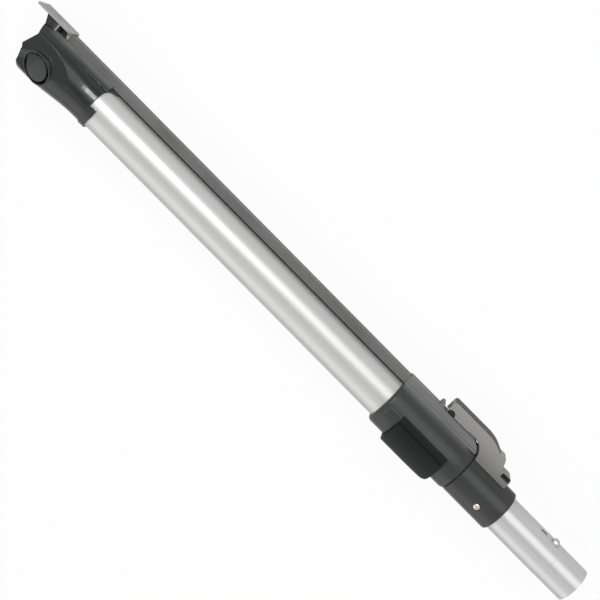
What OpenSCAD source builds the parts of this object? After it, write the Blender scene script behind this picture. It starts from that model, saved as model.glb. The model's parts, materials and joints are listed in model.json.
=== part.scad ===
// Telescopic electric vacuum wand, pushed together. X runs along the tubes, from the mouth of the
// handle socket at x = 0 to the nozzle end. Each piece is drawn with +Y towards the cable channel
// and +Z towards the button side, and lying() then rolls the whole wand onto its far side, where
// it rests on its collar, its head and one edge of the outlet housing.

/* [Tubes] */
// Outside diameter of the upper tube
outer_tube_od = 37; // [36:0.5:39]
// Outside diameter of the lower tube, which slides in the upper one
inner_tube_od = 32; // [31:0.25:32.5]
// Wall of both tubes
tube_wall = 1; // [0.8:0.05:1.2]
// How far the lower tube slides out
stroke = 330; // [240:5:400]
// Distance between the guide ring and the guide bush at full stroke
bearing_gap = 34; // [30:1:60]
// Length of the lower tube that stands out of its sleeve
spigot_len = 82.4; // [75:0.1:100]
// Diameter of the calibrated end of the lower tube
spigot_od = 31.7; // [31.3:0.1:31.8]
// Length of the calibrated end
calibrated_len = 27; // [20:0.5:27]

/* [Handle socket] */
// Bore of the handle socket
socket_bore = 32.4; // [32.2:0.1:33]
// Depth of the handle socket
socket_depth = 60; // [58:1:80]
// Height of the socket's swollen mouth above the upper tube
mouth_rise = 5.5; // [5:0.1:6.5]
// Thickness of the socket's shell
head_wall = 1.8; // [1.4:0.1:2.2]
// Width of the hood over the plug contacts
hood_w = 27; // [25:0.5:30]
// How far the hood reaches out past the mouth
hood_reach = 18.4; // [14:0.2:24]
// Thickness of the hood's plate
hood_t = 1.9; // [1.5:0.1:2.4]
// Height of the hood above the cable channel
hood_rise = 1.3; // [1:0.1:2]

/* [Release button] */
// Diameter of the release button
button_d = 21.8; // [20:0.2:22.6]
// Gap around the release button
button_gap = 1; // [0.8:0.1:1.3]
// Slope of the button's face towards the mouth, in degrees
button_slope = 9; // [7:0.5:12]
// Thickness of the button's cap
button_t = 1.5; // [1.2:0.1:1.8]

/* [Cable channel] */
// Width of the cable channel
channel_w = 14; // [13:0.5:15]
// Height of the cable channel
channel_h = 7.2; // [6.8:0.1:8]
// Wall of the cable channel and of the rod that slides in it
channel_wall = 1; // [0.8:0.1:1.1]
// Gap between the cable channel and the upper tube
channel_lift = 1; // [0.6:0.1:1.4]

/* [Collar and lock] */
// Height of the collar above the upper tube
collar_rise = 3.8; // [3.6:0.1:4.6]
// Length of the collar
collar_len = 80.6; // [80:0.2:90]
// Length of the thumb slide
slide_len = 48.5; // [46:0.5:49.5]
// Height of the thumb slide above the collar
slide_rise = 4.6; // [4.3:0.1:5.4]
// Travel of the thumb slide
slide_travel = 6; // [5:0.5:6]
// Lift that the thumb slide gives the lock key
key_lift = 1.4; // [1.2:0.1:1.5]
// Depth of the guide groove in the lower tube
groove_depth = 1.1; // [0.9:0.1:1.2]
// Distance between the lock's stops
stop_pitch = 30; // [20:1:45]

/* [Sleeve and outlet] */
// Length of the sleeve at the top of the lower tube
sleeve_len = 47; // [45:0.2:60]
// Wall of the sleeve
sleeve_wall = 3; // [2.6:0.1:3.4]
// Width of the outlet housing
outlet_w = 18.5; // [18:0.5:22]
// Height of the outlet housing above the cable channel
outlet_rise = 12.9; // [11.5:0.1:14]
// Wall of the outlet housing
outlet_wall = 1.6; // [1.2:0.1:1.7]
// Diameter of the snap button that holds the nozzle
snap_d = 7.2; // [6.6:0.1:8.2]
// Height of the snap button above the lower tube
snap_rise = 3.8; // [3.4:0.1:4.2]

/* [Hidden] */
$fn = 96;

aluminium = [0.80, 0.81, 0.82];
gloss_grey = [0.20, 0.21, 0.21];
satin_grey = [0.29, 0.30, 0.30];
light_grey = [0.50, 0.50, 0.49];
black = [0.06, 0.06, 0.06];
slide_grey = [0.16, 0.17, 0.17];
brass = [0.78, 0.62, 0.30];
steel = [0.70, 0.70, 0.72];
rubber_black = [0.09, 0.09, 0.10];
nylon = [0.85, 0.84, 0.80];

// Clearances: pieces that are fixed in each other, pieces that slide in each other, and pieces
// that pass each other without touching
seat = 0.05;
run = 0.1;
pass = 0.3;
over = 1;

// Directions around the tubes, in degrees from the cable channel towards the button side
up = 0;
down = 180;
button_a = 120;
screw_a = 115;
snap_a = 20;

outer_r = outer_tube_od / 2;
outer_ri = outer_r - tube_wall;
inner_r = inner_tube_od / 2;
inner_ri = inner_r - tube_wall;
spigot_r = spigot_od / 2;
socket_r = socket_bore / 2;
liner_r = outer_ri - seat;

// Head, along X
tube_x = socket_depth - 16;
head_end = socket_depth + 8.2;
head_r = outer_r + mouth_rise;
head_tail_r = outer_r + 1.2;
taper_x0 = 11.6;
taper_x1 = head_end - 8;
web_x0 = -7.4;
web_x1 = 6.5;
hood_post_w = 1.5;
web_half_w = hood_w / 2 - hood_post_w;
hood_x1 = 17.2;
grip_line_w = 0.9;
grip_line_depth = 0.3;
bead_w = 1.4;
bead_groove = 0.7;
clip_x0 = head_end - 1.6;
clip_x1 = head_end + 6.6;
clip_r = head_tail_r + 0.85;
clip_a = 92;
head_flat = outer_r + 2.5;
tongue_len = 8;
tongue_half_w = 7.5;
pip_x = -1.9;
pip_r = 0.9;

// Cable channel, up from the axis
channel_y0 = outer_r + channel_lift;
channel_y1 = channel_y0 + channel_h;
channel_in_w = channel_w - 2 * channel_wall;
channel_in_h = channel_h - 2 * channel_wall;
channel_mid = (channel_y0 + channel_y1) / 2;
rod_gap = 0.2;
rod_w = channel_in_w - 2 * rod_gap;
rod_h = channel_in_h - 2 * rod_gap;
hood_y1 = channel_y1 + hood_rise;
hood_y0 = hood_y1 - hood_t;
foot_w = channel_w + 1.6;
saddle_y = channel_y0 + 1.5;
bed_half_w = channel_w / 2 + 1.2;
flank_half_w = bed_half_w + 5.6;
flank_y = saddle_y - 5.4;
bed_root_y = 10;

// Plug contacts in the head
recess_w = 2 * web_half_w - 5.2;
recess_y0 = outer_r + 0.1;
recess_y1 = hood_y0 - 1.1;
block_x0 = -1;
block_x1 = 8;
contact_r = 1.6;
contact_pitch = 9;
contact_len = 4;
contact_x1 = block_x1 - 1;

// Release button, hinged near the mouth, in a well that is a little longer than wide
button_x = 16.8;
button_plane = outer_r + 3.1;
button_r = button_d / 2;
well_r = button_r + button_gap;
well_stretch = 1.5;
bezel_r = well_r + 1;
hinge_x = -8.2;
hinge_z = -2.4;
trunnion_r = 1.1;
trunnion_len = 4;
trunnion_mid = bezel_r - 5.2;
stem_x = 7.5;
stem_r = 2.4;
snap_hole_r = 4.2;

// Lower end of the upper tube, along X
ring_len = 18;
ring_x0 = socket_depth + 8;
bush_x0 = ring_x0 + ring_len + stroke + bearing_gap;
collar_x0 = bush_x0 - 52.6;
collar_end = collar_x0 + collar_len;
tube_end = collar_end - 9;
flange_len = 4;
collar_r = outer_r + collar_rise;
collar_end_r = outer_r + 1;
collar_bevel = 0.7;
flange_r = outer_r + 0.5;
lip_len = 2;
round_x0 = collar_end - 17;
cover_wall = 0.85;
cover_y1 = channel_y1 + seat + cover_wall;
cover_half_w = channel_w / 2 + seat + cover_wall;
cover_round = 12;
channel_x1 = collar_end - 8;
shoulder_half_w = cover_half_w + 0.3;
shoulder_y1 = channel_y0 + 2.3;
nub_x = collar_x0 + 33.8;
nub_len = 3.6;
nub_rise = 3.9;
retainer_x0 = collar_x0 + 4.8;
retainer_t = 1.2;
rivet_x = collar_x0 + 28;
rivet_r = 1.4;
rivet_a = 42;

// Thumb slide and lock key
track_x0 = collar_x0 + 17.6;
track_r = outer_r + 1.6;
track_a = 81;
slide_x0 = track_x0 + pass;
slide_x1 = slide_x0 + slide_len;
slide_r = track_r + pass;
slide_skin_r = collar_r - 0.35;
grip_a = 99.5;
grip_shift = 2.3;
grip_r = collar_r + slide_rise - grip_shift;
grip_wall = 1.6;
grip_fall = 1.8;
lock_x = collar_x0 + 46;
key_len = 8;
key_w = 5.4;
key_gap = 0.15;
groove_w = key_w + 0.8;
key_tip = inner_r - groove_depth + pass;
key_pin_r = 0.9;
key_pin_z = track_r + 1.75;
key_top = key_pin_z + 1.2;
cheek_t = 1.4;
cheek_y = key_w / 2 + pass;
cheek_half_len = 7;
post_x = collar_x0 + 37;
post_t = 1.6;

// Lower tube and sleeve
sleeve_x0 = collar_end + 0.7;
sleeve_end = sleeve_x0 + sleeve_len;
sleeve_r = inner_r + sleeve_wall;
inner_end = sleeve_end + spigot_len;
groove_x0 = lock_x - stroke - 14;
groove_x1 = lock_x + 26;
screw_x = sleeve_end - 18.9;
screw_r = 1.5;
screw_head_r = 3.1;
screw_seat_z = sleeve_r - 0.7;
snap_x = inner_end - 35.6;
snap_r = snap_d / 2;
snap_stem_gap = 0.15;
slot_x = snap_x - 12.2;
slot_len = 6.4;
slot_w = 2;

// Outlet housing, along X and up from the axis
outlet_x0 = collar_x0 + 39.1;
outlet_y0 = cover_y1 + 0.7;
outlet_y1 = channel_y1 + outlet_rise;
outlet_in_w = outlet_w - 2 * outlet_wall;
outlet_bend_x = outlet_x0 + 36.8;
outlet_step_x = outlet_x0 + 54;
outlet_step_drop = 4.8;
outlet_corner = 2.6;
bend_r = ((outlet_step_x - outlet_bend_x) ^ 2 + outlet_step_drop ^ 2) / (2 * outlet_step_drop);
bend_a = asin((outlet_step_x - outlet_bend_x) / bend_r);
bend_centre = [outlet_bend_x, outlet_y1 - bend_r];
outlet_slope_x0 = outlet_x0 + 60.6;
outlet_slope_x1 = outlet_x0 + 64.3;
lug_y1 = outlet_y1 - 13.2;
lug_len = 11.5;
lug_pocket_x0 = outlet_slope_x1 + 2.2;
lug_pocket_y0 = lug_y1 - 4.8;
lug_wall = 0.9;
lug_web = 1.6;
lid_t = 0.6;
socket_y0 = outlet_y0 + 1;
socket_y1 = outlet_y0 + 6.4;
socket_w = 13;
socket_wall = 1;
plug_depth = 15;
outlet_block_x0 = outlet_x0 + plug_depth;
outlet_block_len = 22;
arch_x = 4.2;
arch_r = 3.8;
throat_r = cover_round + 1.7;
throat_chamfer = 2.4;
rod_x0 = socket_depth + 38;
rod_x1 = sleeve_x0 + 10;
lead_w = 6;
lead_t = 2.2;
outlet_contact_pitch = 7.6;
outlet_contact_r = 2;

// The wand rests on the side of its collar and on one top edge of the outlet housing
outlet_edge = norm([outlet_w / 2, outlet_y1]);
roll = asin(collar_r / outlet_edge) - atan2(outlet_w / 2, outlet_y1);

function arc(c, r, a0, a1, n = 8) =
  [for (i = [0 : n]) let (a = a0 + (a1 - a0) * i / n) [c[0] + r * cos(a), c[1] + r * sin(a)]];

// Radius of the head from its swollen mouth to its tail, an even S-curve
function head_radius(x) =
  let (t = min(1, max(0, (x - taper_x0) / (taper_x1 - taper_x0))))
  head_tail_r + (head_r - head_tail_r) * (1 + cos(180 * t)) / 2;

module lying() rotate([-roll, 0, 0]) children();

// Local Z runs along the wand, local X up and local Y to the button side
module along(x = 0) translate([x, 0, 0]) rotate([90, 0, 90]) children();

// Local Z points out of the wand at angle a, and local X runs along it
module radial(x, a) rotate([a, 0, 0]) translate([x, 0, 0]) rotate([-90, 0, 0]) children();

// A side view, extruded to a width across the wand
module across(w) translate([0, 0, -w / 2]) linear_extrude(w) children();

module ring(ro, ri, x0, x1) along(x0) linear_extrude(x1 - x0) difference() {
  circle(ro);
  circle(ri);
}

module bar(x0, x1, y0, y1, w) translate([x0, y0, -w / 2]) cube([x1 - x0, y1 - y0, w]);

// A block in a radial frame, centred along and across
module block(l, w, z0, z1) translate([-l / 2, -w / 2, z0]) cube([l, w, z1 - z0]);

// Sector of a cross-section, from angle a0 to a1
module sector(r, a0, a1) polygon(concat([[0, 0]], arc([0, 0], r, a0, a1, 12)));

module coil(r, wire, turns, h) {
  steps = 12 * turns;
  sides = 5;
  points = [for (i = [0 : steps], j = [0 : sides - 1])
    let (a = 360 * turns * i / steps, b = 360 * j / sides, q = r + wire / 2 * cos(b))
    [q * cos(a), q * sin(a), wire / 2 + (h - wire) * i / steps + wire / 2 * sin(b)]];
  walls = [for (i = [0 : steps - 1], j = [0 : sides - 1], k = [0, 1])
    let (a = i * sides + j, b = i * sides + (j + 1) % sides)
    k == 0 ? [a, a + sides, b + sides] : [a, b + sides, b]];
  ends = [[for (j = [0 : sides - 1]) j], [for (j = [sides - 1 : -1 : 0]) steps * sides + j]];
  polyhedron(points, concat(walls, ends));
}

// Upper tube

module outer_tube() color(aluminium) difference() {
  ring(outer_r, outer_ri, tube_x, tube_end);
  radial(lock_x, down) block(key_len + 2 * key_gap, key_w + 2 * key_gap, 0, outer_r + over);
  for (s = [-1, 1]) radial(rivet_x, down + s * rivet_a) cylinder(h = outer_r + over, r = rivet_r + seat);
}

// Head with the handle socket

// The head is round outside, with flat sides where it swells
module head_shape() {
  steps = 14;
  intersection() {
    along() rotate_extrude() polygon(concat(
      [[0, web_x0], [head_r - 2.4, web_x0], [head_r - 1.6, -3.6], [head_r - 0.4, -1], [head_r, 1.6]],
      [for (i = [0 : steps]) let (x = taper_x0 + (taper_x1 - taper_x0) * i / steps) [head_radius(x), x]],
      [[head_tail_r, head_end], [0, head_end]]));
    bar(web_x0, head_end, -2 * head_r, 2 * head_r, 2 * head_flat);
  }
}

module head_hollow() {
  steps = 14;
  x1 = tube_x - 6;
  intersection() {
    along() rotate_extrude() polygon(concat(
      [[0, web_x1]],
      [for (i = [0 : steps]) let (x = web_x1 + (x1 - web_x1) * i / steps) [head_radius(x) - head_wall, x]],
      [[0, x1]]));
    bar(web_x1, x1, -2 * head_r, 2 * head_r, 2 * (head_flat - head_wall));
  }
}

// Tongue of the head under the cable channel, seen from above
module tongue_outline() {
  x1 = head_end + tongue_len;
  half_w = tongue_half_w + tongue_len;
  polygon(concat(
    [[head_end - over, -half_w]],
    arc([x1, -half_w], tongue_len, 180, 90),
    arc([x1, half_w], tongue_len, 270, 180),
    [[head_end - over, half_w]]));
}

module button_frame() radial(button_x, button_a) translate([0, 0, button_plane])
  rotate([0, -button_slope, 0]) children();

module hinge_frame() button_frame() translate([hinge_x, 0, hinge_z]) rotate([90, 0, 0]) children();

// A cylinder stretched along the wand by well_stretch each way
module stretched(r, h) {
  for (s = [-1, 1]) translate([s * well_stretch, 0, 0]) cylinder(h = h, r = r);
  translate([-well_stretch, -r, 0]) cube([2 * well_stretch, 2 * r, h]);
}

module handle_socket() color(gloss_grey) difference() {
  well_depth = 12;
  union() {
    difference() {
      head_shape();
      head_hollow();
    }
    bar(web_x0, web_x1, 0, hood_y0, 2 * web_half_w);
    // Bed of the cable channel, with sloping flanks
    along(web_x1) linear_extrude(head_end + 1 - web_x1) polygon([
      [bed_root_y, 0], [flank_y, -flank_half_w], [saddle_y, -bed_half_w], [saddle_y, bed_half_w],
      [flank_y, flank_half_w]]);
    intersection() {
      ring(head_tail_r, outer_r + seat, head_end - over, head_end + tongue_len);
      rotate([-90, 0, 0]) linear_extrude(head_r) tongue_outline();
    }
    // Solid ground for the scoop around the button
    intersection() {
      head_shape();
      button_frame() translate([0, 0, -4]) cylinder(h = 14, r = bezel_r + 7);
    }
    button_frame() translate([0, 0, -well_depth]) stretched(bezel_r, well_depth);
  }
  along(web_x0 - over) cylinder(h = tube_x - web_x0 + over, r = liner_r + seat);
  along(tube_x - over) cylinder(h = head_end, r = outer_r + seat);
  // Mouth, with a slanted edge up to the hood, a notch, and a lip beside the button
  across(4 * head_r) polygon([
    [-hood_reach, hood_y0], [web_x0, hood_y0], [0.3, 10.7], [-4.4, -3.3], [-2.2, -6.5], [-1.2, -13.6],
    [-0.4, -19], [2.2, -head_r], [2.2, -2 * head_r], [-hood_reach, -2 * head_r]]);
  // Flat saddle under the cable channel
  bar(web_x1, head_end + tongue_len + over, saddle_y, 2 * head_r, 4 * head_r);
  // Scooped well of the release button
  button_frame() translate([0, 0, -well_depth]) stretched(well_r, well_depth + over);
  for (s = [-1, 1]) button_frame() translate([s * well_stretch, 0, 0])
    cylinder(h = 8, r1 = bezel_r, r2 = bezel_r + 9.6);
  for (s = [-1, 1]) hinge_frame() translate([0, 0, s * trunnion_mid])
    cylinder(h = trunnion_len + 2 * pass, r = trunnion_r + seat, center = true);
  // Plug recess, its block, the bed of the cable channel, and a pip on each side
  bar(web_x0 - over, block_x1 + seat, recess_y0, recess_y1, recess_w);
  bar(block_x1, head_end + tongue_len + over, channel_y0 - seat, 2 * head_r, channel_w + 2 * seat);
  for (s = [-1, 1]) translate([pip_x, recess_y1 - 1.6, s * web_half_w])
    cylinder(h = 1.6, r = pip_r, center = true);
}

module socket_liner() color(satin_grey) difference() {
  lead_in = 1.2;
  along() rotate_extrude() polygon([
    [socket_r, 0], [socket_r + 0.6, -lead_in], [liner_r, -lead_in], [liner_r, socket_depth],
    [socket_r, socket_depth]]);
  radial(button_x + stem_x, button_a) cylinder(h = outer_r, r = snap_hole_r);
}

// Top view of the hood's plate, with round corners at the channel end
module hood_outline() {
  corner_r = 5;
  polygon(concat(
    [[-hood_reach, -hood_w / 2]],
    arc([hood_x1 - corner_r, corner_r - hood_w / 2], corner_r, -90, 0),
    arc([hood_x1 - corner_r, hood_w / 2 - corner_r], corner_r, 0, 90),
    [[-hood_reach, hood_w / 2]]));
}

module connector_hood() color(light_grey) difference() {
  foot_x0 = web_x1 + 2.8;
  foot_r = 6;
  union() {
    difference() {
      translate([0, hood_y0, 0]) rotate([-90, 0, 0]) linear_extrude(hood_t) hood_outline();
      // Grip lines along the top
      for (z = [-2 : 2]) translate([0, 0, z * hood_w / 7])
        bar(2 - hood_reach, 4, hood_y1 - grip_line_depth, hood_y1 + over, grip_line_w);
      // A bead along each side, cut free by a groove
      for (s = [-1, 1]) translate([0, 0, s * (hood_w / 2 - bead_w)])
        bar(-hood_reach - over, web_x1 - 1.2, hood_y1 - bead_groove, hood_y1 + over, bead_groove);
    }
    for (s = [-1, 1]) translate([0, 0, s * (hood_w - hood_post_w) / 2])
      bar(web_x1 - 1.2, web_x1, outer_r, hood_y0, hood_post_w);
    across(foot_w) polygon(concat(
      arc([foot_x0, hood_y0 - foot_r], foot_r, 90, 10, 6),
      [[hood_x1, outer_r], [hood_x1, hood_y0]]));
  }
  // The hood stands on the head's round back, and its foot on the saddle
  intersection() {
    along(-hood_reach) cylinder(h = hood_reach + web_x1, r = head_r + seat);
    bar(-hood_reach, web_x1, 0, 2 * head_r, 4 * head_r);
  }
  bar(web_x1, hood_x1 + over, 0, saddle_y + seat, 4 * head_r);
  bar(web_x1 - 1.2 - over, block_x1 + seat, 0, recess_y1 + seat, recess_w + 2 * seat);
  bar(block_x1, hood_x1 + over, 0, recess_y1 + seat, channel_in_w);
}

module contact_block() color(black) {
  nose_w = recess_w - 2 * seat;
  tail_w = channel_in_w - 2 * seat;
  difference() {
    bar(block_x0, block_x1, recess_y0 + seat, recess_y1 - seat, nose_w);
    for (s = [-1, 1]) translate([0, channel_mid, s * contact_pitch / 2]) along(block_x0 - over)
      cylinder(h = contact_x1 + seat - block_x0 + over, r = contact_r + seat);
  }
  bar(block_x1, hood_x1 + 4, channel_y0 + channel_wall + seat, recess_y1 - seat, tail_w);
}

module contact_pins() color(brass) for (s = [-1, 1])
  translate([0, channel_mid, s * contact_pitch / 2]) along() rotate_extrude() polygon([
    [0, block_x0 - contact_len], [contact_r * 0.5, block_x0 - contact_len],
    [contact_r, block_x0 - contact_len + 1], [contact_r, contact_x1], [0, contact_x1]]);

module release_button() color(gloss_grey) {
  // Shallow dome of the cap, with a small flat at its centre
  dome = 0.7;
  flat_r = 1;
  dome_r = (button_r * button_r + dome * dome) / (2 * dome);
  button_frame() rotate_extrude() polygon(concat(
    [[0, -button_t], [button_r, -button_t]],
    arc([0, dome - dome_r], dome_r, acos(button_r / dome_r), acos(flat_r / dome_r), 6),
    [[0, dome - dome_r + sqrt(dome_r * dome_r - flat_r * flat_r)]]));
  button_frame() translate([stem_x, 0, -button_t - 3.4]) cylinder(h = 3.5, r = stem_r);
  for (s = [-1, 1]) {
    button_frame() intersection() {
      translate([hinge_x, s * (trunnion_mid - trunnion_len / 2 + 0.3), 0])
        block(2.6, 1.4, hinge_z - 1, 0.1 - button_t);
      translate([0, 0, 2 * hinge_z]) cylinder(h = -2 * hinge_z, r = button_r - pass);
    }
    hinge_frame() translate([0, 0, s * trunnion_mid])
      cylinder(h = trunnion_len, r = trunnion_r, center = true);
  }
}

module button_spring() color(steel) radial(button_x, button_a)
  translate([0, 0, outer_ri + 0.02]) coil(2.6, 0.5, 2, button_plane - button_t - outer_ri - 0.6);

module tube_clip() color(satin_grey) difference() {
  bevel = 0.6;
  along() rotate_extrude() polygon([
    [head_tail_r + seat, clip_x0], [clip_r, clip_x0], [clip_r, clip_x1 - bevel],
    [clip_r - bevel, clip_x1], [outer_r + seat, clip_x1], [outer_r + seat, head_end + seat],
    [head_tail_r + seat, head_end + seat]]);
  along(clip_x0 - over) linear_extrude(clip_x1 - clip_x0 + 2 * over) sector(2 * head_r, -clip_a, clip_a);
  // The end falls back at the bottom
  across(4 * head_r) polygon([
    [clip_x1, -8], [clip_x1 - 3.6, -head_r], [clip_x1 + over, -head_r], [clip_x1 + over, -8]]);
}

// Cable channel and its lead

module cable_channel() color(light_grey) difference() {
  bar(hood_x1, channel_x1, channel_y0, channel_y1, channel_w);
  bar(hood_x1 - over, channel_x1 + over, channel_y0 + channel_wall, channel_y1 - channel_wall, channel_in_w);
}

module coiled_lead() color(black) {
  turns = 22;
  x0 = hood_x1 + 4.4;
  pitch = (rod_x0 - 0.4 - x0) / turns;
  for (i = [0 : turns - 1])
    bar(x0 + i * pitch, x0 + (i + 0.8) * pitch, channel_mid - rod_h / 2, channel_mid + rod_h / 2, rod_w);
  bar(x0, rod_x0 - 0.4 - 0.2 * pitch, channel_mid - rod_h / 2 + 0.5, channel_mid + rod_h / 2 - 0.5,
    rod_w - 1);
}

// Collar

module collar_solid() {
  end_arc = [for (i = [0 : 8]) let (t = i / 8)
    [collar_end_r + (collar_r - collar_end_r) * cos(90 * t), round_x0 + t * (collar_end - round_x0)]];
  along() rotate_extrude() polygon(concat(
    [[outer_r + seat, collar_x0], [outer_r + 0.8, collar_x0]],
    [for (a = [80 : -20 : 0]) [collar_r - 3 + 3 * cos(a), collar_x0 + 3.6 - 3.6 * sin(a)]],
    end_arc,
    [[collar_end_r - collar_bevel, collar_end + collar_bevel / 2],
     [inner_r + 0.5, collar_end + collar_bevel / 2], [inner_r + 0.5, collar_end - lip_len],
     [flange_r + seat, collar_end - lip_len], [flange_r + seat, tube_end], [outer_r + seat, tube_end]]));
}

// Side view of the raised top of the collar, with its rounded lower end
module collar_top(y1, inset = 0) {
  r = cover_round - inset;
  polygon(concat(
    [[collar_x0 + 0.4, channel_y0], [collar_x0 + 0.4, y1]],
    arc([collar_end - cover_round, cover_y1 - cover_round], r, asin((y1 - cover_y1 + cover_round) / r),
      asin((channel_y0 - cover_y1 + cover_round) / r))));
}

module collar_housing() color(satin_grey) difference() {
  union() {
    collar_solid();
    // Shoulders that lead from the round collar up to the cover
    intersection() {
      across(4 * cover_half_w) collar_top(shoulder_y1, 1.5);
      along(collar_x0) linear_extrude(collar_len) polygon([
        [0, -collar_r], [shoulder_y1 + shoulder_half_w - collar_r, -collar_r],
        [shoulder_y1, -shoulder_half_w], [shoulder_y1, shoulder_half_w],
        [shoulder_y1 + shoulder_half_w - collar_r, collar_r], [0, collar_r]]);
    }
    radial(post_x, down) block(post_t, 4, track_r - 0.5, track_r + 3);
  }
  along(collar_x0 - over) cylinder(h = tube_end - collar_x0 + over, r = outer_r + seat);
  bar(collar_x0 - over, collar_end + over, channel_y0 - seat, 2 * collar_r, 2 * (cover_half_w + seat));
  // Track of the thumb slide, with the post of its spring left standing
  difference() {
    along(track_x0) linear_extrude(collar_end - track_x0 + over) difference() {
      sector(2 * collar_r, track_a, 360 - track_a);
      circle(track_r);
    }
    radial(post_x, down) block(post_t, 4, 0, track_r + 3);
  }
  // Seat of the slide retainer
  along(retainer_x0) linear_extrude(track_x0 - retainer_x0 + over) difference() {
    sector(2 * collar_r, track_a + 6, 354 - track_a);
    circle(collar_r - retainer_t);
  }
  radial(lock_x, down) block(key_len + 2 * key_gap, key_w + 2 * key_gap, 0, collar_r + over);
  for (s = [-1, 1]) radial(rivet_x, down + s * rivet_a) {
    cylinder(h = collar_r, r = rivet_r + seat);
    translate([0, 0, track_r - 0.9]) cylinder(h = 4, r1 = rivet_r + seat, r2 = rivet_r + seat + 4);
  }
}

module slide_retainer() color(satin_grey) difference() {
  along(retainer_x0 + seat) linear_extrude(track_x0 - retainer_x0 - seat) intersection() {
    difference() {
      circle(collar_r);
      circle(collar_r - retainer_t + seat);
    }
    sector(2 * collar_r, track_a + 6.2, 353.8 - track_a);
  }
}

module channel_cover() color(light_grey) difference() {
  union() {
    across(2 * cover_half_w) collar_top(cover_y1);
    across(2 * cover_half_w) translate([nub_x - nub_len / 2, cover_y1 - 1]) {
      square([nub_len, nub_rise + 1 - nub_len / 2]);
      translate([nub_len / 2, nub_rise + 1 - nub_len / 2]) circle(nub_len / 2);
    }
  }
  bar(collar_x0 - over, collar_end + over, 0, channel_y1 + seat, channel_w + 2 * seat);
}

module guide_bush() color(nylon) along() rotate_extrude() polygon([
  [inner_r + run, bush_x0], [outer_ri - seat, bush_x0], [outer_ri - seat, tube_end],
  [flange_r, tube_end], [flange_r, tube_end + flange_len], [inner_r + run, tube_end + flange_len]]);

module wiper_seal() color(rubber_black) along() rotate_extrude() {
  x0 = tube_end + flange_len;
  x1 = collar_end - lip_len;
  polygon([
    [inner_r + run, x0 + 0.6], [inner_r + 1.2, x0], [flange_r, x0], [flange_r, x1],
    [inner_r + 1.2, x1], [inner_r + 1.2, x1 - 0.8], [inner_r + run, x1 - 1.4]]);
}

module collar_rivets() color(steel) for (s = [-1, 1]) radial(rivet_x, down + s * rivet_a) {
  translate([0, 0, outer_ri + seat]) cylinder(h = track_r - 0.9 - outer_ri, r = rivet_r);
  translate([0, 0, track_r - 0.9]) cylinder(h = 0.75, r1 = rivet_r, r2 = rivet_r + 0.75);
}

// Thumb slide and lock key

module slide_outline() difference() {
  union() {
    intersection() {
      circle(slide_skin_r);
      sector(2 * collar_r, track_a + 1, 359 - track_a);
    }
    intersection() {
      translate([-grip_shift, 0]) circle(grip_r);
      sector(2 * collar_r, grip_a, 360 - grip_a);
    }
  }
  circle(slide_r);
}

// Side view of the slide, with round ends and a fall of the grip towards the nozzle
module slide_side(inset = 0) polygon(concat(
  arc([slide_x0 + 4, 4 - grip_r - grip_shift], 4 - inset, 180, 270, 6),
  [[slide_x0 + 16, inset - grip_r - grip_shift]],
  arc([slide_x1 - 6, 6 - grip_r - grip_shift + grip_fall], 6 - inset, 268, 355, 6),
  [[slide_x1 - inset, 2 * collar_r], [slide_x0 + inset, 2 * collar_r]]));

module thumb_slide() color(slide_grey) difference() {
  union() {
    difference() {
      intersection() {
        along(slide_x0) linear_extrude(slide_len) slide_outline();
        across(4 * collar_r) slide_side();
      }
      // Hollow under the grip
      intersection() {
        along(slide_x0) linear_extrude(slide_len) intersection() {
          translate([-grip_shift, 0]) circle(grip_r - grip_wall);
          sector(2 * collar_r, grip_a + 8, 352 - grip_a);
        }
        across(4 * collar_r) slide_side(grip_wall);
      }
    }
    // Cheeks with the inclined slots that lift the lock key
    for (s = [-1, 1]) radial(lock_x - slide_travel / 2, down) translate([0, s * (cheek_y + cheek_t / 2), 0])
      block(2 * cheek_half_len, cheek_t, slide_r, grip_r + grip_shift - grip_wall - 0.2);
  }
  radial(lock_x, down) rotate([90, 0, 0]) linear_extrude(12, center = true) {
    half_gap = key_pin_r + run;
    travel = slide_travel + run;
    lift = key_lift * travel / slide_travel;
    for (p = [[run, key_pin_z], [-travel, key_pin_z + lift]]) translate(p) circle(half_gap);
    polygon([
      [run, key_pin_z - half_gap], [-travel, key_pin_z + lift - half_gap],
      [-travel, key_pin_z + lift + half_gap], [run, key_pin_z + half_gap]]);
  }
}

module slide_spring() color(steel) translate([slide_x0 + grip_wall + 0.1, -track_r - 2.5, 0]) along()
  coil(1.2, 0.5, 7, post_x - post_t / 2 - slide_x0 - grip_wall - 0.2);

module lock_key() color(steel) radial(lock_x, down) {
  block(key_len, key_w, key_tip + 1, key_top);
  block(key_len - 2, key_w, key_tip, key_tip + 1);
  rotate([90, 0, 0]) linear_extrude(key_w + 2 * (pass + cheek_t), center = true)
    translate([0, key_pin_z]) circle(key_pin_r);
}

// Lower tube

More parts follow.
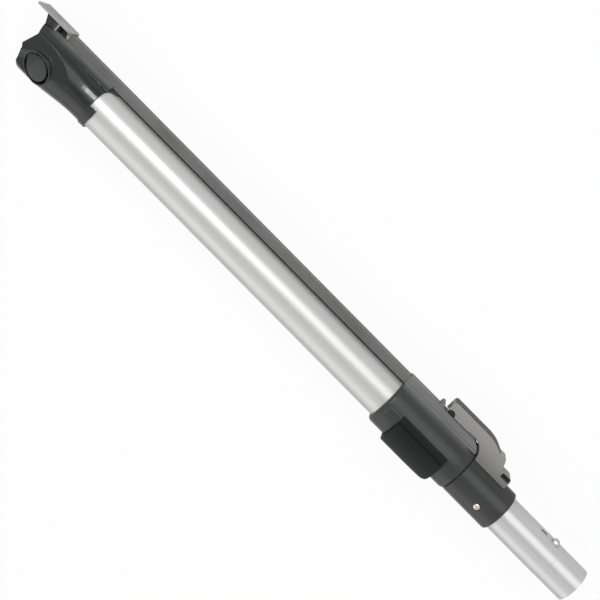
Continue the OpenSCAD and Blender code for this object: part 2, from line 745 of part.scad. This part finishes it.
module inner_tube() color(aluminium) difference() {
  union() {
    ring(inner_r, inner_ri, ring_x0, inner_end - calibrated_len - 1.5);
    along() rotate_extrude() polygon([
      [inner_r, inner_end - calibrated_len - 1.5], [spigot_r, inner_end - calibrated_len],
      [spigot_r, inner_end], [spigot_r - tube_wall, inner_end],
      [spigot_r - tube_wall, inner_end - calibrated_len],
      [inner_ri, inner_end - calibrated_len - 1.5]]);
    // Wall of the guide groove, pressed into the tube
    intersection() {
      along(groove_x0) cylinder(h = groove_x1 - groove_x0, r = inner_r);
      bar(groove_x0, groove_x1, -inner_r, 0.6 * tube_wall - inner_r + groove_depth, groove_w + 1.6);
    }
  }
  bar(groove_x0 + 0.8, groove_x1 - 0.8, -inner_r - over, groove_depth - inner_r, groove_w);
  // Stops of the lock, punched through the floor of the groove
  for (i = [0 : floor(stroke / stop_pitch)]) radial(lock_x - i * stop_pitch, down)
    block(key_len + 0.6, key_w + 0.4, 0, inner_r);
  radial(screw_x, screw_a) cylinder(h = inner_r + over, r = screw_r + seat);
  radial(snap_x, snap_a) cylinder(h = inner_r + over, r = snap_r + snap_stem_gap);
  radial(slot_x, snap_a) block(slot_len, slot_w, 0, inner_r + over);
}

module guide_ring() color(nylon) difference() {
  ring(outer_ri - run, inner_r + seat, ring_x0, ring_x0 + ring_len);
  for (i = [1 : 3]) ring(outer_r, outer_ri - 0.6, ring_x0 + i * ring_len / 4 - 1, ring_x0 + i * ring_len / 4 + 1);
}

module channel_rod() color(black) difference() {
  bar(rod_x0, rod_x1, channel_mid - rod_h / 2, channel_mid + rod_h / 2, rod_w);
  bar(rod_x0 - over, rod_x1 + over, channel_mid - rod_h / 2 + 0.9, channel_mid + rod_h / 2 - 0.9,
    rod_w - 1.8);
}

module outlet_lead() color(black) {
  top = outlet_y0 + 4;
  x1 = rod_x1 + 0.4 + lead_t;
  bar(rod_x0, x1, channel_mid - lead_t / 2, channel_mid + lead_t / 2, lead_w);
  bar(rod_x1 + 0.4, x1, channel_mid - lead_t / 2, top, lead_w);
  bar(outlet_block_x0 + outlet_block_len, x1, top - lead_t, top, lead_w);
}

module lower_sleeve() color(satin_grey) difference() {
  along() rotate_extrude() polygon(concat(
    [[inner_r + seat, sleeve_x0], [sleeve_r - 1, sleeve_x0], [sleeve_r, sleeve_x0 + 1]],
    [for (a = [0 : 15 : 75]) [sleeve_r - 2.4 + 2.4 * cos(a), sleeve_end - 2.4 + 2.4 * sin(a)]],
    [[inner_r + seat, sleeve_end]]));
  radial(screw_x, screw_a) {
    cylinder(h = sleeve_r + over, r = screw_r + seat);
    translate([0, 0, screw_seat_z]) cylinder(h = 2, r = screw_head_r + 0.15);
  }
}

module sleeve_screw() color(steel) radial(screw_x, screw_a) difference() {
  union() {
    translate([0, 0, inner_ri + 0.1]) cylinder(h = screw_seat_z - inner_ri, r = screw_r);
    translate([0, 0, screw_seat_z]) intersection() {
      cylinder(h = 1.5, r = screw_head_r);
      translate([0, 0, -2.6]) sphere(r = 4.1);
    }
  }
  // Cross recess
  for (a = [0, 90]) rotate(a) block(3.4, 0.7, screw_seat_z + 0.5, screw_seat_z + 2);
}

// Outlet housing, which rides over the collar

module outlet_side() polygon(concat(
  [[outlet_x0, outlet_y0]],
  arc([outlet_x0 + outlet_corner, outlet_y1 - outlet_corner], outlet_corner, 180, 90, 6),
  arc(bend_centre, bend_r, 90, 90 - bend_a, 6),
  [[outlet_slope_x0 - 1, outlet_y1 - outlet_step_drop],
   [outlet_slope_x0, outlet_y1 - outlet_step_drop - 0.6],
   [outlet_slope_x1, lug_y1]],
  arc([outlet_slope_x1 + lug_len - 3.5, lug_y1 - 3.5], 3.5, 90, 0, 6),
  [[outlet_slope_x1 + lug_len, inner_r], [collar_end - cover_round + throat_r, inner_r]],
  arc([collar_end - cover_round, cover_y1 - cover_round], throat_r, 0,
    asin((outlet_y0 - cover_y1 + cover_round) / throat_r))));

module lid_side() {
  corner = [outlet_x0 + outlet_corner, outlet_y1 - outlet_corner];
  polygon(concat(
    arc(corner, outlet_corner - lid_t, 150, 90, 4),
    arc(bend_centre, bend_r - lid_t, 90, 90 - bend_a, 6),
    arc(bend_centre, bend_r, 90 - bend_a, 90, 6),
    arc(corner, outlet_corner, 90, 150, 4)));
}

module outlet_housing() color(light_grey) difference() {
  across(outlet_w) outlet_side();
  across(outlet_w + 2 * over) lid_side();
  along(collar_end) cylinder(h = 2 * sleeve_len, r = sleeve_r + seat);
  // Plug socket, its room for the contact block, and the way of the lead
  bar(outlet_x0 - over, outlet_x0 + outlet_wall + over, 0, socket_y1, socket_w);
  bar(outlet_x0 + outlet_wall, outlet_block_x0 + outlet_block_len, 0, outlet_y1 - lid_t - 1.2,
    outlet_in_w);
  bar(outlet_block_x0, rod_x1 + 0.5 + lead_t, outlet_y0 + 1.6, outlet_y0 + 4.2, lead_w + 0.4);
  bar(rod_x1 - 2, rod_x1 + 0.5 + lead_t, channel_mid - lead_t / 2 - 0.2, outlet_y0 + 4.2, lead_w + 0.4);
  bar(channel_x1, rod_x1, channel_mid - rod_h / 2 - seat, channel_mid + rod_h / 2 + seat,
    rod_w + 2 * seat);
  // Arch at the foot of one side wall, and the pockets of the cord lug
  translate([outlet_x0 + arch_x, outlet_y0, outlet_in_w / 2 - over]) cylinder(h = outlet_wall + 2 * over, r = arch_r);
  for (s = [-1, 1]) translate([0, 0, s * (outlet_w + lug_web) / 2])
    bar(lug_pocket_x0, outlet_slope_x1 + lug_len - lug_wall, lug_pocket_y0, lug_y1 - lug_wall, outlet_w);
  // Chamfers of the side walls around the end of the collar
  for (s = [-1, 1]) translate([collar_end - cover_round, cover_y1 - cover_round, s * outlet_w / 2])
    rotate([s > 0 ? 0 : 180, 0, 0]) translate([0, 0, -throat_chamfer / 2])
      cylinder(h = throat_chamfer, r1 = throat_r - 0.5, r2 = throat_r + throat_chamfer);
}

module outlet_lid() color(satin_grey) across(outlet_w) lid_side();

module outlet_block() color(black) difference() {
  union() {
    bar(outlet_block_x0, outlet_block_x0 + outlet_block_len - seat, outlet_y0 + 0.6,
      outlet_y1 - lid_t - 1.2 - seat, outlet_in_w - 2 * seat);
    bar(outlet_x0 + outlet_wall + seat, outlet_block_x0, socket_y0 - socket_wall + seat,
      socket_y1 + socket_wall, socket_w + 2 * socket_wall);
  }
  bar(outlet_x0, outlet_block_x0, socket_y0, socket_y1, socket_w);
  for (s = [-1, 1]) translate([0, outlet_y0 + 3.7, s * outlet_contact_pitch / 2])
    along(outlet_block_x0 - over) cylinder(h = 17, r = outlet_contact_r);
}

module outlet_contacts() color(brass) for (s = [-1, 1])
  translate([0, outlet_y0 + 3.7, s * outlet_contact_pitch / 2]) along(outlet_block_x0 + 1)
    difference() {
      cylinder(h = 15, r = outlet_contact_r - seat);
      translate([0, 0, -over]) cylinder(h = 13, r = outlet_contact_r - 0.55);
    }

// Snap button of the nozzle end

module snap_button() color(steel) radial(snap_x, snap_a) difference() {
  top = inner_r + snap_rise;
  foot_z = inner_ri - 1.8;
  dome_h = 2.8;
  dome_r = (snap_r * snap_r + dome_h * dome_h) / (2 * dome_h);
  union() {
    translate([0, 0, foot_z]) cylinder(h = 0.8, r = snap_r + 1);
    translate([0, 0, foot_z]) cylinder(h = top - dome_h - foot_z, r = snap_r);
    translate([0, 0, top - dome_h]) intersection() {
      cylinder(h = dome_h, r = snap_r);
      translate([0, 0, dome_h - dome_r]) sphere(r = dome_r);
    }
  }
  // Dimple of the pressed steel
  translate([0, 0, top - 0.5]) cylinder(h = 1, r1 = 0.8, r2 = 1.8);
}

module snap_spring() color(steel) rotate([snap_a, 0, 0]) {
  y0 = inner_ri - 1;
  y1 = inner_ri - 2.2;
  t = 0.4;
  across(snap_d - 1) polygon([
    [slot_x - 4, y0], [slot_x + 4, y0], [snap_x - 6, y1], [snap_x + 6, y1],
    [snap_x + 6, y1 + t], [snap_x - 6, y1 + t], [slot_x + 4, y0 + t], [slot_x - 4, y0 + t]]);
  bar(slot_x - slot_len / 2 + 0.2, slot_x + slot_len / 2 - 0.2, y0, inner_r - 0.1, slot_w - 0.4);
}

lying() outer_tube();
lying() handle_socket();
lying() socket_liner();
lying() connector_hood();
lying() contact_block();
lying() contact_pins();
lying() cable_channel();
lying() coiled_lead();
lying() tube_clip();
lying() collar_housing();
lying() channel_cover();
lying() slide_retainer();
lying() guide_bush();
lying() wiper_seal();
lying() collar_rivets();
lying() release_button();
lying() button_spring();
lying() thumb_slide();
lying() slide_spring();
lying() lock_key();
lying() inner_tube();
lying() guide_ring();
lying() channel_rod();
lying() outlet_lead();
lying() lower_sleeve();
lying() outlet_housing();
lying() outlet_lid();
lying() outlet_block();
lying() outlet_contacts();
lying() sleeve_screw();
lying() snap_button();
lying() snap_spring();
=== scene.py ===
import json
from math import asin, cos, radians, sin

import bmesh
import bpy
from mathutils import Matrix, Vector


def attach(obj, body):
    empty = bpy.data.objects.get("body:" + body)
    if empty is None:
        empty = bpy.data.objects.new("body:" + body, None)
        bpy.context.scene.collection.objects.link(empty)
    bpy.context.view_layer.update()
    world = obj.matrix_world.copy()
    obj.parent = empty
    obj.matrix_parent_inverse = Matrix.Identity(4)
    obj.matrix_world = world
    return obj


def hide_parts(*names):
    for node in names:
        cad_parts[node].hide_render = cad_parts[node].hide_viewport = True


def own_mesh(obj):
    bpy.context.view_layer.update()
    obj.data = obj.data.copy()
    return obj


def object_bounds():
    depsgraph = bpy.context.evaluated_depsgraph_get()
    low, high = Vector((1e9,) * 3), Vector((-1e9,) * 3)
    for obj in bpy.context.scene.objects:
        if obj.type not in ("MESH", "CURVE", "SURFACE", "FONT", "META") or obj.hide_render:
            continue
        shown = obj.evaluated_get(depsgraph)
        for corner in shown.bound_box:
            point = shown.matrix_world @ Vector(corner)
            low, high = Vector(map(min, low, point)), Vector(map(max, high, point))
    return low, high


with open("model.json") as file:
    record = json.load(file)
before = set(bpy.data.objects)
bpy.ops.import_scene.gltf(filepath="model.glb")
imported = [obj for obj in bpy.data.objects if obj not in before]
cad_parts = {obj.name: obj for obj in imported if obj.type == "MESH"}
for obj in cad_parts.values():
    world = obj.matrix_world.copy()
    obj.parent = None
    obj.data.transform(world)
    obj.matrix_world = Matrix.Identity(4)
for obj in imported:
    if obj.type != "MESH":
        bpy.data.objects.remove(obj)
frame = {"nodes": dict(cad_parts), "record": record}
cad_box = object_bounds()
nodes = frame["nodes"]

# Camera. The wand was photographed from above, about 1.1 m away with a long lens, so that it crosses
# the square picture from its top left to its bottom right corner. It lies on its collar and its
# outlet, rolled back about its own length, and the camera stays square to the tubes.

joints = frame["record"]["behaviour"]["joints"]
key_lift = next(joint["axis"] for joint in joints if joint["name"] == "lock_lift")
roll = asin(key_lift[2])
above = roll + radians(10)
slant = radians(45.3)
wand_x = Vector((1, 0, 0))
to_channel = Vector((0, cos(above), -sin(above)))
to_camera = Vector((0, sin(above), cos(above)))
picture_right = wand_x * cos(slant) + to_channel * sin(slant)
picture_up = to_channel * cos(slant) - wand_x * sin(slant)
aim = wand_x * 0.2928 + to_channel * 0.0055
camera_distance = 1.072

camera = bpy.data.objects.new("camera", bpy.data.cameras.new("camera"))
camera.data.lens = 80.4
camera.data.sensor_width = 36
camera.data.clip_start = 0.01
camera.matrix_world = Matrix.Translation(aim + to_camera * camera_distance) @ Matrix(
    (picture_right, picture_up, to_camera)).transposed().to_4x4()
bpy.context.scene.collection.objects.link(camera)
bpy.context.scene.camera = camera
bpy.context.scene.view_settings.view_transform = "Standard"

# Studio. A pale floor just under the wand, a long soft lamp on the channel's side that draws the
# bright band on the tubes, a broad one on the other side, and a short one beyond the head that makes
# the spot of light on it. Two grey cards beside the long lamp are the dark edges of the band.


class Field:
    """An output of a node. Python's operators on it add Math nodes."""

    def __init__(self, tree, socket):
        self.tree = tree
        self.socket = socket

    def _math(self, operation, first, second):
        return add_node(self.tree, "ShaderNodeMath", dict(operation=operation),
                        {0: first, 1: second})["Value"]

    def __add__(self, other):
        return self._math("ADD", self, other)

    def __radd__(self, other):
        return self._math("ADD", other, self)

    def __sub__(self, other):
        return self._math("SUBTRACT", self, other)

    def __rsub__(self, other):
        return self._math("SUBTRACT", other, self)

    def __mul__(self, other):
        return self._math("MULTIPLY", self, other)

    def __rmul__(self, other):
        return self._math("MULTIPLY", other, self)

    def between(self, low, high):
        """0 at low, 1 at high, and smooth in the middle."""
        return add_node(self.tree, "ShaderNodeMapRange", dict(interpolation_type="SMOOTHSTEP"),
                        {"Value": self, "From Min": low, "From Max": high})["Result"]


def add_node(tree, kind, settings=None, values=None):
    """Adds a node of any kind, its settings first, and returns its outputs by name."""
    node = tree.nodes.new(kind)
    for name, setting in (settings or {}).items():
        setattr(node, name, setting)
    for name, value in (values or {}).items():
        if isinstance(value, Field):
            tree.links.new(value.socket, node.inputs[name])
        else:
            node.inputs[name].default_value = value
    return {output.name: Field(tree, output) for output in node.outputs if output.enabled}


def plain_nodes(owner):
    """The emptied node tree of a material or a world."""
    owner.use_nodes = True
    owner.node_tree.nodes.clear()
    return owner.node_tree


def as_object(name, bm):
    """A finished mesh as an object of the scene."""
    made = bpy.data.objects.new(name, bpy.data.meshes.new(name))
    bm.to_mesh(made.data)
    bm.free()
    bpy.context.scene.collection.objects.link(made)
    return made


gap_under_wand = 0.0002
floor_half = 30
bm = bmesh.new()
bmesh.ops.create_grid(bm, x_segments=1, y_segments=1, size=floor_half,
                      matrix=Matrix.Translation((0.3, 0, cad_box[0].z - gap_under_wand)))
floor = as_object("floor", bm)

floor_tone = 0.86
white_share = 0.94
paint = bpy.data.materials.new("pale floor")
tree = plain_nodes(paint)
painted = add_node(tree, "ShaderNodeBsdfDiffuse",
                   values={"Color": (floor_tone, floor_tone, floor_tone, 1)})["BSDF"]
lit = add_node(tree, "ShaderNodeEmission", values={"Strength": 1.0})["Emission"]
seen = add_node(tree, "ShaderNodeLightPath")["Is Camera Ray"] * white_share
mixed = add_node(tree, "ShaderNodeMixShader", values={"Fac": seen, 1: painted, 2: lit})["Shader"]
add_node(tree, "ShaderNodeOutputMaterial", values={"Surface": mixed})
floor.data.materials.append(paint)

air_light = 0.46
world = bpy.data.worlds.new("studio")
bpy.context.scene.world = world
tree = plain_nodes(world)
air, white = (
    add_node(tree, "ShaderNodeBackground", values={"Color": (1, 1, 1, 1), "Strength": strength})
    for strength in (air_light, 1.0))
rays = add_node(tree, "ShaderNodeLightPath")
seen = rays["Is Camera Ray"]
for kind in ("Is Glossy Ray", "Is Transmission Ray"):
    seen = add_node(tree, "ShaderNodeMath", dict(operation="MAXIMUM"),
                    {0: seen, 1: rays[kind]})["Value"]
mixed = add_node(tree, "ShaderNodeMixShader",
                 values={"Fac": seen, 1: air["Background"], 2: white["Background"]})["Shader"]
add_node(tree, "ShaderNodeOutputWorld", values={"Surface": mixed})

middle = wand_x * 0.3


def around_wand(elevation, distance):
    """A place beside the middle of the wand, at an elevation counted from the channel's side."""
    angle = radians(elevation)
    return middle + Vector((0, cos(angle), sin(angle))) * distance


def facing_wand(place, lean):
    """Turned to the wand, with the end beside the lower tube lowered by an angle."""
    turned = (middle - place).to_track_quat("-Z", "Y").to_matrix().to_4x4()
    return turned @ Matrix.Rotation(radians(lean), 4, "Z")


# Each lamp: its elevation and lean in degrees, its shift along the wand from the middle, its
# distance, its size across and along the wand in metres, and its watts.
for name, elevation, lean, shift, distance, across, along, watts in (
        ("band lamp", 46, 20, 0.0, 3.2, 1.9, 5.0, 45),
        ("broad lamp", 145, 0, 0.0, 3.2, 2.4, 4.6, 29),
        ("window lamp", 46, 0, -0.73, 2.6, 0.9, 0.24, 15)):
    lamp = bpy.data.objects.new(name, bpy.data.lights.new(name, "AREA"))
    lamp.data.shape = "RECTANGLE"
    lamp.data.size = along
    lamp.data.size_y = across
    lamp.data.energy = watts
    place = around_wand(elevation, distance)
    lamp.matrix_world = Matrix.Translation(place + wand_x * shift) @ facing_wand(place, lean)
    bpy.context.scene.collection.objects.link(lamp)

card_distance = 3.0
card_lean = 20
card_half_length = 2.4
card_tone = 0.48
paper = bpy.data.materials.new("grey paper")
tree = plain_nodes(paper)
grey = add_node(tree, "ShaderNodeEmission", values={"Strength": card_tone})["Emission"]
add_node(tree, "ShaderNodeOutputMaterial", values={"Surface": grey})
for name, elevation, half_width in (("upper_card", 83, 0.50), ("lower_card", 10, 0.40)):
    place = around_wand(elevation, card_distance)
    facing = Matrix.Translation(place) @ facing_wand(place, card_lean)
    bm = bmesh.new()
    bmesh.ops.create_grid(bm, x_segments=1, y_segments=1, size=1.0)
    bmesh.ops.scale(bm, vec=(card_half_length, half_width, 1.0), verts=bm.verts)
    bmesh.ops.transform(bm, matrix=facing, verts=bm.verts)
    card = as_object(name, bm)
    card.data.materials.append(paper)
    card.visible_camera = False
    card.visible_diffuse = False
    card.visible_shadow = False

# Tubes. Both are drawn aluminium, anodised in its own colour: the etched skin is satin, and fine lines
# from the die run the whole length. The inner tube, which slides in the other, is a little smoother.


class Finish:
    """A material under construction, on one Principled shader."""

    def __init__(self, name, **constants):
        self.material = bpy.data.materials.new(name)
        self.tree = plain_nodes(self.material)
        surface = self.node("ShaderNodeBsdfPrincipled", values={
            socket.replace("_", " "): value for socket, value in constants.items()})["BSDF"]
        self.node("ShaderNodeOutputMaterial", values={"Surface": surface})
        self.shader = surface.socket.node
        self.place = self.node("ShaderNodeTexCoord")["Object"]

    def node(self, kind, settings=None, values=None):
        return add_node(self.tree, kind, settings, values)

    def dot(self, first, second):
        return self.node("ShaderNodeVectorMath", dict(operation="DOT_PRODUCT"),
                         {0: first, 1: second})["Value"]

    def along(self, *direction):
        """How far a point lies in a direction, in metres from the origin of the frame."""
        return self.dot(self.place, direction)

    def noise(self, size, detail=2.0, stretch=(1, 1, 1)):
        """Noise with features of about the given size in metres, longer along a stretched axis."""
        scale = tuple(1 / (size * s) for s in stretch)
        where = self.node("ShaderNodeMapping", values={"Vector": self.place, "Scale": scale})["Vector"]
        return self.node("ShaderNodeTexNoise",
                         values={"Vector": where, "Scale": 1.0, "Detail": detail})["Fac"]

    def blend(self, share, first, second):
        """A colour between two colours. The Mix node's colours are its inputs 6 and 7."""
        first, second = (c if isinstance(c, Field) else (*c, 1) for c in (first, second))
        return self.node("ShaderNodeMix", dict(data_type="RGBA"),
                         {0: share, 6: first, 7: second})["Result"]

    def edge_closeness(self, radius):
        """1 on an edge, and 0 further than a radius away from it."""
        rounded = self.node("ShaderNodeBevel", dict(samples=6), {"Radius": radius})["Normal"]
        true = self.node("ShaderNodeNewGeometry")["Normal"]
        return (1 - self.dot(rounded, true)).between(0.01, 0.16)

    def drive(self, **fields):
        for name, field in fields.items():
            self.tree.links.new(field.socket, self.shader.inputs[name.replace("_", " ")])
        return self

    def relief(self, height, depth, edge=0.0):
        """Bumps of a real depth in metres, over rounded edges where a radius is given."""
        values = {"Height": height, "Distance": depth, "Strength": 1.0}
        if edge:
            values["Normal"] = self.node("ShaderNodeBevel", dict(samples=8), {"Radius": edge})["Normal"]
        return self.drive(Normal=self.node("ShaderNodeBump", values=values)["Normal"])

    def on(self, *pieces):
        """Puts the finish on pieces, which are CAD nodes by name or objects."""
        for piece in pieces:
            mesh = (nodes[piece] if isinstance(piece, str) else piece).data
            mesh.materials.clear()
            mesh.materials.append(self.material)
        return self


def drawn_aluminium(name, tone, matt):
    line_depth = 0.000012
    tube = Finish(name, Metallic=0.42, IOR=1.5)
    lines = tube.noise(0.00035, detail=3, stretch=(90, 1, 1))
    streaks = tube.noise(0.003, stretch=(40, 1, 1))
    clouds = tube.noise(0.05, detail=3)
    dark = tuple(c * 0.95 for c in tone)
    tube.drive(
        Base_Color=tube.blend((streaks * 0.5 + lines * 0.5).between(0.3, 0.7), dark, tone),
        Roughness=matt + (lines - 0.5) * 0.10 + (clouds - 0.5) * 0.06)
    return tube.relief(lines, line_depth)


drawn_aluminium("anodised tube", (0.56, 0.56, 0.555), 0.36).on("outer_tube")
drawn_aluminium("anodised inner tube", (0.555, 0.56, 0.555), 0.31).on("inner_tube")

# Head. One dark shell, moulded in glossy plastic around the socket for the hose handle, with the
# round release button hinged in its side. The polish of the mould leaves it nearly black.


def moulded(name, tone, matt, grain=0.00045, depth=0.000004, edge=0.00035, shine=0.3,
            painted_edge_tone=None, pale=None, painted_light_heights=(0.0155, 0.0225)):
    """Moulded plastic: flow marks, the fine texture of the mould, a tone painted on edges (a painted
    highlight where it is lighter, painted shade where it is darker), and a pale one towards the
    channel, a painted highlight, which rises between two heights above the tube's centre."""
    drift = 0.14
    plastic = Finish(name, IOR=1.5, Specular_IOR_Level=shine)
    texture = plastic.noise(grain, detail=4)
    flow = plastic.noise(0.018, detail=3, stretch=(2.5, 1, 1))
    low = tuple(c * (1 - drift) for c in tone)
    high = tuple(c * (1 + drift) for c in tone)
    skin = plastic.blend((flow * 0.7 + texture * 0.3).between(0.3, 0.7), low, high)
    # Painted highlight: the colour grows paler towards the channel, between two heights, for the light
    # that the upturned surfaces there catch.
    if pale:
        height = plastic.along(0, cos(roll), -sin(roll))
        behind_mouth = plastic.along(1, 0, 0).between(0.001, 0.010)
        skin = plastic.blend(height.between(*painted_light_heights) * behind_mouth, skin, pale)
    # Painted light on edges: they take another tone, a painted highlight where it is lighter than the
    # plastic and painted shade where it is darker.
    if painted_edge_tone:
        skin = plastic.blend(plastic.edge_closeness(edge) * flow.between(0.2, 0.6), skin, painted_edge_tone)
    plastic.drive(Base_Color=skin, Roughness=matt + (texture - 0.5) * 0.12 + (flow - 0.5) * 0.10)
    return plastic.relief(texture, depth, edge)


# The head's edges and its top towards the channel are painted lighter: painted highlights.
moulded("glossy head", (0.022, 0.024, 0.023), 0.16, grain=0.0008, depth=0.000001, edge=0.0006,
        shine=0.34, painted_edge_tone=(0.055, 0.057, 0.055), pale=(0.17, 0.17, 0.168)).on("handle_socket")
moulded("glossy button", (0.027, 0.029, 0.028), 0.20, grain=0.0007, depth=0.000003, edge=0.0009,
        shine=0.26).on("release_button")
moulded("socket liner", (0.06, 0.062, 0.062), 0.42).on("socket_liner")
moulded("tube clip", (0.030, 0.032, 0.031), 0.30).on("tube_clip")

# Plug contacts. The hood is a lighter, satin plate over the mouth, and under it two turned brass
# pins stand in a black insulator. The outlet at the other end has brass sockets in one like it.

# The hood's edges are painted darker.
moulded("grey hood", (0.37, 0.37, 0.366), 0.42, depth=0.000006, edge=0.0006,
        painted_edge_tone=(0.13, 0.13, 0.13)).on("connector_hood")
moulded("black insulator", (0.012, 0.012, 0.012), 0.5).on("contact_block", "outlet_block")


def turned_metal(name, tone, matt, dull):
    """Bare metal, with fine marks of its making and dull spots of another tone."""
    mark_depth = 0.000006
    edge = 0.0002
    metal = Finish(name, Metallic=1.0)
    marks = metal.noise(0.0002, stretch=(1, 6, 6))
    stain = metal.noise(0.0015, detail=4)
    metal.drive(Base_Color=metal.blend(stain.between(0.45, 0.75), tone, dull),
                Roughness=matt + (marks - 0.5) * 0.15 + (stain - 0.5) * 0.12)
    return metal.relief(marks, mark_depth, edge)


turned_metal("brass contacts", (0.72, 0.52, 0.22), 0.25, (0.45, 0.30, 0.12)).on(
    "contact_pins", "outlet_contacts")

# Cable channel. A rectangular tube of grey plastic, extruded, with the coiled lead and the sliding
# rod inside it.

moulded("grey channel", (0.140, 0.140, 0.138), 0.40, grain=0.0006).on("cable_channel")
moulded("lead and rod", (0.02, 0.02, 0.02), 0.5).on("coiled_lead", "channel_rod", "outlet_lead")

# Collar. A satin shell riveted to the lower end of the upper tube, with the raised cover of the
# channel, the plate that closes the track of the thumb slide, and nylon rings and a rubber seal
# inside, on which the lower tube slides.

# The collar's edges and its top towards the channel are painted lighter: painted highlights.
moulded("satin collar", (0.038, 0.040, 0.039), 0.32, depth=0.000005, edge=0.0011,
        painted_edge_tone=(0.12, 0.125, 0.12), pale=(0.19, 0.192, 0.19)).on("collar_housing", "slide_retainer")
moulded("channel cover", (0.165, 0.167, 0.165), 0.40).on("channel_cover")
moulded("white nylon", (0.72, 0.71, 0.67), 0.45).on("guide_bush", "guide_ring")
moulded("seal rubber", (0.018, 0.018, 0.018), 0.62).on("wiper_seal")

# Thumb slide. The grip that frees the tube lock, moulded in the darkest plastic of all, with the
# fine grain of a spark-eroded mould. It runs in a track of the collar.

moulded("grained slide", (0.013, 0.015, 0.014), 0.48, grain=0.0004, depth=0.00002, edge=0.0006,
        shine=0.12).on("thumb_slide")

# Sleeve and outlet housing. The sleeve is a satin moulding, screwed to the lower tube. The housing on
# it is a light shell that reaches over the collar, under a dark strip that is its lid. Its colour is
# painted darker near the tube and palest at the top, as painted shade and painted light.

moulded("satin sleeve", (0.036, 0.037, 0.0365), 0.30, depth=0.000005).on("lower_sleeve")
# Painted shade and light: the housing's colour runs from darker near the tube to palest at the top.
moulded("outlet housing", (0.165, 0.163, 0.160), 0.38, depth=0.000006, pale=(0.30, 0.296, 0.29),
        painted_light_heights=(0.012, 0.038)).on("outlet_housing")
moulded("outlet lid", (0.045, 0.044, 0.042), 0.42).on("outlet_lid")

# Ribs in the cord lug of the housing. Short dark teeth on both sides of its web, moulded with it,
# which grip a lead that is laid in the lug.

rib_size = (0.0008, 0.0036, 0.0022)
rib_edge = 0.00015
rib_pitch = 0.0015
first_rib_x = 0.5042
lug_height = 0.02355
web_half = 0.0018
bm = bmesh.new()
for side in (-1, 1):
    for tooth in range(5):
        rib = bmesh.ops.create_cube(bm, size=1.0)["verts"]
        bmesh.ops.scale(bm, vec=rib_size, verts=rib)
        bmesh.ops.translate(
            bm, vec=(first_rib_x + rib_pitch * tooth, lug_height, side * web_half), verts=rib)
bmesh.ops.bevel(bm, geom=bm.edges[:], offset=rib_edge, affect="EDGES", segments=2, profile=0.5,
                material=-1)
bmesh.ops.rotate(bm, cent=(0, 0, 0), matrix=Matrix.Rotation(-roll, 3, "X"), verts=bm.verts)
ribs = as_object("lug_ribs", bm)
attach(ribs, "lower")
moulded("lug ribs", (0.09, 0.09, 0.09), 0.4, edge=0.0002).on(ribs)

# Steel. The snap button, the key of the lock and the rivets are bright, the screw is yellowed by its
# passivation, and the leaf spring hooked in the slot of the lower tube is blued.

turned_metal("bright steel", (0.62, 0.62, 0.62), 0.28, (0.42, 0.40, 0.37)).on(
    "collar_rivets", "lock_key", "snap_button")
turned_metal("passivated screw", (0.66, 0.60, 0.53), 0.30, (0.34, 0.25, 0.17)).on("sleeve_screw")
turned_metal("blued leaf", (0.09, 0.09, 0.10), 0.38, (0.05, 0.045, 0.04)).on("snap_spring")

# Coil springs under the release button and in the thumb slide. Each is wound from blued wire and
# stands on a wall of the upper body. The piece that it returns would press it shorter, but here it
# keeps the length of its CAD node.

button_lean = radians(9.893)
button_travel = 0.0013
slide_travel = 0.0060
same_point = 0.000001
blued_wire = turned_metal("blued wire", (0.10, 0.10, 0.11), 0.36, (0.05, 0.045, 0.04))
for spring, name, joint, outward, travel in (
        ("button_spring", "button_coil", "release_press",
         Vector((0, -sin(button_lean), cos(button_lean))), button_travel),
        ("slide_spring", "slide_coil", "thumb_slide", -wand_x, slide_travel)):
    bm = bmesh.new()
    bm.from_mesh(nodes[spring].data)
    bmesh.ops.remove_doubles(bm, verts=bm.verts, dist=same_point)
    reach = [v.co.dot(outward) for v in bm.verts]
    coil = as_object(name, bm)
    blued_wire.on(coil)
    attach(coil, "upper")
    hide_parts(spring)
    outward * min(reach)
    1 - travel / (max(reach) - min(reach))
    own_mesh(coil)
